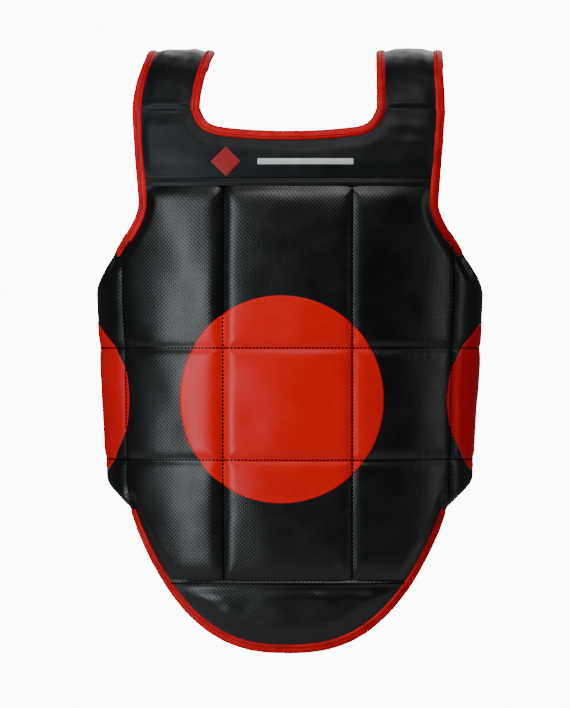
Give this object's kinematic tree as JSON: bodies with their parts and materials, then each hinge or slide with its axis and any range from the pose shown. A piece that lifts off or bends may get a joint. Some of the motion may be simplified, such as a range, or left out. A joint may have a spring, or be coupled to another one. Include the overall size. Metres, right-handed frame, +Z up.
{
  "type": "chest protector",
  "caption": "Padded torso guard with stitched front cells, flexing side wings, shoulder straps over the shoulders and a hook-and-loop belt across the back.",
  "frame": {"origin": "on the wearer's trunk axis: centre plane of the guard, level with the centres of the three targets, inside the space the trunk fills", "axes": "+Z up the trunk, +Y towards the back, +X to the right as seen by someone facing the front; the front faces -Y, and left and right in piece names are as seen from the front"},
  "size_m": [0.389, 0.2458, 0.6061],
  "materials": {
    "textured_leather": "black coated leather with a fine embossed lattice, semi-gloss",
    "smooth_leather": "black coated leather with a fine pebble grain, semi-gloss",
    "target_red": "red coated film, satin",
    "binding_red": "red woven binding tape, satin",
    "foam": "closed-cell foam, matt",
    "lining": "black woven nylon, matt",
    "webbing": "black woven webbing",
    "elastic": "black ribbed elastic",
    "fastener": "black hook-and-loop, napped",
    "plastic": "black moulded plastic",
    "emblem_red": "red print, satin",
    "emblem_white": "white print, satin"
  },
  "bodies": {
    "front": {"front_cover_center": "textured_leather", "front_cover_left": "textured_leather", "front_cover_right": "textured_leather", "front_lining": "lining", "foam_lower_left": "foam", "foam_lower_center": "foam", "foam_lower_right": "foam", "foam_middle_left": "foam", "foam_middle_center": "foam", "foam_middle_right": "foam", "foam_upper_left": "foam", "foam_upper_center": "foam", "foam_upper_right": "foam", "yoke_cover": "smooth_leather", "yoke_lining": "lining", "yoke_foam": "foam", "target_center": "target_red", "binding_neck": "binding_red", "binding_arm_left": "binding_red", "binding_arm_right": "binding_red", "binding_hip_left": "binding_red", "binding_hip_right": "binding_red", "emblem_lozenge": "emblem_red", "emblem_bar": "emblem_white"},
    "bottom_lobe": {"bottom_cover": "textured_leather", "bottom_lining": "lining", "bottom_foam": "foam", "binding_hem": "binding_red"},
    "left_wing": {"wing_cover_left": "textured_leather", "wing_lining_left": "lining", "wing_foam_lower_left": "foam", "wing_foam_middle_left": "foam", "wing_foam_upper_left": "foam", "binding_wing_left": "binding_red", "target_left": "target_red", "loop_patch_left": "fastener"},
    "left_strap": {"strap_cover_left": "smooth_leather", "strap_lining_left": "lining", "strap_foam_left": "foam", "binding_strap_left": "binding_red"},
    "left_tab": {"hook_tab_left": "fastener"},
    "left_keeper": {"keeper_left": "plastic"},
    "right_wing": {"wing_cover_right": "textured_leather", "wing_lining_right": "lining", "wing_foam_lower_right": "foam", "wing_foam_middle_right": "foam", "wing_foam_upper_right": "foam", "binding_wing_right": "binding_red", "target_right": "target_red", "loop_patch_right": "fastener"},
    "right_strap": {"strap_cover_right": "smooth_leather", "strap_lining_right": "lining", "strap_foam_right": "foam", "binding_strap_right": "binding_red"},
    "right_tab": {"hook_tab_right": "fastener"},
    "right_keeper": {"keeper_right": "plastic"},
    "back_harness": {"webbing_left": "webbing", "webbing_right": "webbing", "waist_belt": "elastic"}
  },
  "joints": [
    {"name": "left_wing_flex", "type": "hinge", "parent": "front", "child": "left_wing", "pos_m": [-0.14582, -0.05063, 0], "axis": [0, 0, -1], "range_deg": [0, 18], "stiffness_Nm_per_rad": 0.8},
    {"name": "right_wing_flex", "type": "hinge", "parent": "front", "child": "right_wing", "pos_m": [0.14582, -0.05063, 0], "axis": [0, 0, 1], "range_deg": [0, 18], "stiffness_Nm_per_rad": 0.8},
    {"name": "bottom_flex", "type": "hinge", "parent": "front", "child": "bottom_lobe", "pos_m": [0, -0.0745, -0.18], "axis": [1, 0, 0], "range_deg": [-3, 20], "stiffness_Nm_per_rad": 0.6},
    {"name": "left_strap_lift", "type": "hinge", "parent": "front", "child": "left_strap", "pos_m": [0, -0.0835, 0.288], "axis": [1, 0, 0], "range_deg": [0, 50]},
    {"name": "right_strap_lift", "type": "hinge", "parent": "front", "child": "right_strap", "pos_m": [0, -0.0835, 0.288], "axis": [1, 0, 0], "range_deg": [0, 50]},
    {"name": "harness_swing", "type": "hinge", "parent": "left_strap", "child": "back_harness", "pos_m": [0, 0.07148, 0.32434], "axis": [1, 0, 0], "range_deg": [0, 70]},
    {"name": "left_tab_peel", "type": "hinge", "parent": "back_harness", "child": "left_tab", "pos_m": [-0.16167, 0.09504, 0], "axis": [0, 0, -1], "range_deg": [0, 75]},
    {"name": "right_tab_peel", "type": "hinge", "parent": "back_harness", "child": "right_tab", "pos_m": [0.16167, 0.09504, 0], "axis": [0, 0, 1], "range_deg": [0, 75]},
    {"name": "left_keeper_slide", "type": "slide", "parent": "back_harness", "child": "left_keeper", "axis": [0, 0, 1], "range_m": [-0.06, 0.06]},
    {"name": "right_keeper_slide", "type": "slide", "parent": "back_harness", "child": "right_keeper", "axis": [0, 0, 1], "range_m": [-0.06, 0.06]}
  ],
  "couplings": [
    {"joint": "right_strap_lift", "follows": "left_strap_lift", "ratio": 1}
  ]
}
